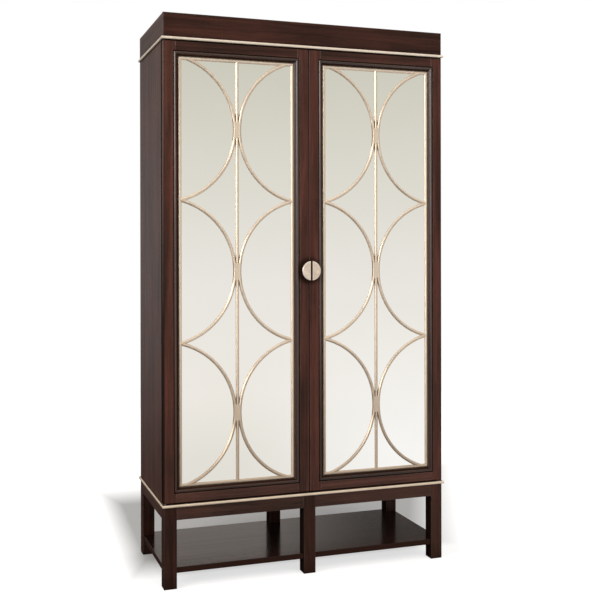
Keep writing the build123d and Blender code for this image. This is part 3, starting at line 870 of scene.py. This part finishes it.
# The upper bead's gilding is lighter than the lower bead's: painted light
upper_gilt = gilding("upper_bead_gilding", (1.0, 0.880, 0.745), (0.95, 0.810, 0.665), bead_umber, bead_root)
fret_gilt = gilding(
    "fret_gilding",
    (0.88, 0.735, 0.590),
    (0.79, 0.650, 0.510),
    # Umber: the rubbed ground, and glaze and painted shade at the foot of the bars
    (0.17, 0.105, 0.060),
    bar_foot,
    low_shade=low_bars,
)
pull_gilt = gilding(
    "antique_gilding",
    (0.95, 0.800, 0.665),
    (0.74, 0.590, 0.475),
    # Umber: the rubbed ground, and painted shade behind the pull's face and along its split
    (0.03, 0.016, 0.010),
    pull_back,
    bright=pull_rim,
    wear=0.3,
    dimple=0.3,
)
glass = silvered_glass("silvered_glass")
rod_metal = drawn_metal("polished_rod", (0.72, 0.71, 0.69), (0.58, 0.57, 0.55), (0.08, 0.18), "X")
hinge_metal = drawn_metal("brushed_steel", (0.46, 0.44, 0.41), (0.30, 0.285, 0.265), (0.28, 0.42), "X")

columns = ("left", "centre", "right")
dress(leg_wood, "front_left_leg", "front_centre_leg", *each("rear_{}_leg", columns))
# The front right leg takes the lighter stain: painted light
dress(painted_light_leg_wood, "front_right_leg")
dress(apron_wood["X"], *each("front_{}_apron", sides), *each("rear_{}_apron", sides), "stand_deck")
dress(apron_wood["Y"], *each("{}_apron", sides))
dress(shelf_wood, "stand_shelf")
dress(side_wood, *each("{}_side", sides))
dress(cornice_wood["X"], "cornice_base", "cornice_front", "cornice_back", "cornice_top")
dress(cornice_wood["Y"], *each("cornice_{}", sides))
dress(cornice_wood["Z"], "cornice_blocks")
dress(inner_wood, "case_top", "case_bottom", "hat_shelf")
dress(back_board, "back_panel")
dress(lower_gilt, "lower_bead")
dress(upper_gilt, "upper_bead")
dress(rod_metal, "hanging_rod", "rod_sockets")
dress(hinge_metal, "shelf_pins", "case_pivot_plates", "pivot_pins", "case_pivot_screws")
dress(moulded_case("catch_body"), "door_catches")

fret_group, fret_keys = fret_tree()
for side in sides:
    dress(stile_wood[side], f"{side}_door_hinge_stile", f"{side}_door_meeting_stile")
    dress(bottom_rail_wood, f"{side}_door_bottom_rail")
    dress(shaded_top_rail_wood, f"{side}_door_top_rail")
    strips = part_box(f"{side}_door_moulding")
    polished = stained_wood(
        f"{side}_moulding_mahogany",
        strips,
        apron_brown,
        sheen=(0.15, 0.24),
        gloss=1.0,
        groove=moulding_grooves(strips),
        tone_colour=glaze_and_shade_umber,
    )
    dress(polished, f"{side}_door_moulding")
    dress(glass, f"{side}_door_mirror")
    dress(back_board, f"{side}_door_back")
    dress(hinge_metal, f"{side}_door_pivot_plates", f"{side}_door_screws", f"{side}_strike_plate")
    fretwork(side, fret_group, fret_keys, fret_gilt)
    pull_half(side, pull_gilt)


# Studio
floor_half = 4.0
floor_drop = 0.0005
floor_glow = 0.8
shadow_fade = 0.13
shadow_length = 1.3
shadow_end = 0.4
shadow_slant_left = 0.05
shadow_slant_right = 0.5
shadow_right = (0.38, 0.72)
shadow_under = (0.42, 0.17)
shadow_front = (0.02, -0.15)
fill_colour = (1.0, 0.985, 0.96, 1)
fill_strength = 0.5
overhead = (1.3, 1.26, 1.19)
dim_corner = (0.11, 0.094, 0.084)
strip_colour = (6.0, 5.82, 5.56)

# The sweep that mirrors and metal show, from low to high: in front, behind, to the right and at the left
front_sweep = (
    (0.02, (0.200, 0.190, 0.180)),
    (0.13, (0.790, 0.775, 0.730)),
    (0.19, (0.825, 0.812, 0.767)),
    (0.25, (0.905, 0.885, 0.850)),
    (0.36, (0.872, 0.862, 0.832)),
    (0.50, (0.740, 0.730, 0.665)),
    (0.58, (0.655, 0.650, 0.570)),
    (0.78, (0.420, 0.410, 0.370)),
)
rear_sweep = (
    (0.16, (0.04, 0.036, 0.034)),
    (0.30, (0.33, 0.325, 0.32)),
    (0.44, (0.46, 0.45, 0.445)),
    (0.58, (0.33, 0.32, 0.31)),
    (0.63, (0.34, 0.31, 0.285)),
    (0.68, (0.80, 0.705, 0.64)),
    (0.86, (1.08, 1.02, 0.96)),
)
right_sweep = (
    (0.00, (0.55, 0.530, 0.500)),
    (0.20, (0.42, 0.405, 0.380)),
    (0.32, (0.62, 0.600, 0.570)),
    (0.42, (0.70, 0.680, 0.650)),
    (0.60, (0.52, 0.505, 0.480)),
    (0.78, (0.85, 0.830, 0.800)),
    (0.92, (1.15, 1.120, 1.080)),
)
left_strip = ((0.16, 0.04), (0.30, 0.06), (0.42, 0.28), (0.50, 0.35), (0.58, 1.0), (0.74, 0.8), (0.90, 0.13))


def mirror_rays(tree):
    """Light path outputs, and whether a ray comes off or through something shiny."""
    path = node(tree, "ShaderNodeLightPath").outputs
    return path, greatest(tree, path["Is Glossy Ray"], path["Is Transmission Ray"])


def studio_sweep(tree):
    """Warm pale surroundings, brightest overhead and in a strip at the left."""
    way = separated(tree, node(tree, "ShaderNodeTexCoord").outputs["Generated"])
    height = fade(tree, way["Z"], -0.4, 0.6)
    low_right = maths(tree, "MULTIPLY", fade(tree, way["X"], 0.27, 0.41), fade(tree, way["Z"], -0.06, -0.20))
    front = mix(tree, low_right, ramp(tree, height, *front_sweep), (1.0, 1.0, 1.0))
    high_right = fade(tree, way["X"], 0.28, 0.38, 0.88)
    high_right = maths(tree, "MULTIPLY", high_right, fade(tree, way["Z"], 0.20, 0.25))
    behind = mix(tree, high_right, ramp(tree, height, *rear_sweep), dim_corner)
    sweep = mix(tree, fade(tree, way["Y"], -0.15, 0.25), front, behind)
    sweep = mix(tree, fade(tree, way["X"], 0.46, 0.66), sweep, ramp(tree, height, *right_sweep))
    sweep = mix(tree, fade(tree, way["Z"], 0.64, 0.84), sweep, overhead)
    strip = mix(tree, 1.0, ramp(tree, height, *left_strip), strip_colour, "MULTIPLY")
    to_left = maths(tree, "MULTIPLY", fade(tree, way["X"], -0.42, -0.56), fade(tree, way["Y"], -0.10, -0.25))
    return mix(tree, to_left, sweep, strip)


def studio_world():
    """White to the camera, the sweep in mirrors and metal, and an even fill for everything else."""
    world = bpy.data.worlds.new("studio")
    bpy.context.scene.world = world
    world.use_nodes = True
    tree = world.node_tree
    tree.nodes.clear()

    def background(colour, strength=1.0):
        return node(tree, "ShaderNodeBackground", {"Color": colour, "Strength": strength}).outputs[0]

    path, mirrored = mirror_rays(tree)
    fill = background(fill_colour, fill_strength)
    seen = background(studio_sweep(tree))
    white = background((1, 1, 1, 1))
    lit = node(tree, "ShaderNodeMixShader", {0: mirrored, 1: fill, 2: seen}).outputs[0]
    shown = node(tree, "ShaderNodeMixShader", {0: path["Is Camera Ray"], 1: lit, 2: white}).outputs[0]
    node(tree, "ShaderNodeOutputWorld", {"Surface": shown})


def pale_floor():
    """Plain pale floor that keeps the shadow of the armoire; mirrors show the sweep in its place.

    The floor glows to white in front and further off, and not behind the stand, where the shadow lies.
    """
    material, tree, shader = new_material("pale_floor")
    mottle = speckle(tree, object_place(tree), 2.0, 2, 0.5)
    place = separated(tree, object_place(tree))
    back = maths(tree, "SUBTRACT", place["Y"], cad_low.y)
    to_left = maths(tree, "SUBTRACT", maths(tree, "MULTIPLY", back, shadow_slant_left), place["X"])
    to_left = fade(tree, to_left, cad_high.x, cad_high.x + shadow_fade)
    to_right = maths(tree, "SUBTRACT", place["X"], maths(tree, "MULTIPLY", back, shadow_slant_right))
    to_right = fade(tree, to_right, *shadow_right)
    past = fade(tree, back, shadow_length, shadow_length + shadow_end)
    under = spread(tree, back, *shadow_under, 0.1, 0.86)
    ahead = fade(tree, back, *shadow_front)
    glow = maths(tree, "MULTIPLY", greatest(tree, to_left, to_right, past, under, ahead), floor_glow)
    path, mirrored = mirror_rays(tree)
    feed(
        tree,
        shader,
        Base_Color=ramp(tree, mottle, (0.3, (0.59, 0.585, 0.58)), (0.7, (0.61, 0.605, 0.60))),
        Emission_Strength=maths(tree, "MULTIPLY", path["Is Camera Ray"], glow),
        Alpha=maths(tree, "SUBTRACT", 1.0, mirrored),
    )
    settle(shader, Roughness=0.9, Specular_IOR_Level=0.0, Emission_Color=(1, 1, 1, 1))
    made = bmesh.new()
    bmesh.ops.create_grid(made, x_segments=1, y_segments=1, size=floor_half)
    bmesh.ops.translate(made, verts=made.verts, vec=(0, 0, -floor_drop))
    mesh = bpy.data.meshes.new("floor")
    made.to_mesh(mesh)
    made.free()
    mesh.materials.append(material)
    floor = bpy.data.objects.new("floor", mesh)
    bpy.context.scene.collection.objects.link(floor)


def softbox(name, place, target, width, height, radiance, colour):
    """Soft rectangular lamp aimed at a point, not seen in mirrors."""
    data = bpy.data.lights.new(name, "AREA")
    data.shape = "RECTANGLE"
    data.size, data.size_y = width, height
    data.energy = radiance * pi * width * height
    data.color = colour
    lamp = bpy.data.objects.new(name, data)
    lamp.location = place
    lamp.rotation_euler = (Vector(target) - Vector(place)).to_track_quat("-Z", "Y").to_euler()
    lamp.visible_glossy = False
    bpy.context.scene.collection.objects.link(lamp)


studio_world()
pale_floor()
middle = (cad_low + cad_high) / 2
softbox(
    "left_softbox",
    place=(-3.5, -1.45, 2.5),
    target=middle,
    width=1.8,
    height=2.4,
    radiance=5.2,
    colour=(1.0, 0.97, 0.93),
)
softbox(
    "front_softbox",
    place=(1.4, -4.4, 3.8),
    target=middle,
    width=3.0,
    height=2.2,
    radiance=3.6,
    colour=(1.0, 0.98, 0.95),
)

camera_data = bpy.data.cameras.new("picture_camera")
camera_data.lens = camera_lens
camera_data.sensor_width = camera_sensor
camera_data.shift_y = camera_shift
camera = bpy.data.objects.new("picture_camera", camera_data)
camera.location = camera_place
camera.rotation_euler = camera_turn
bpy.context.scene.collection.objects.link(camera)
bpy.context.scene.camera = camera
bpy.context.scene.view_settings.view_transform = "Standard"
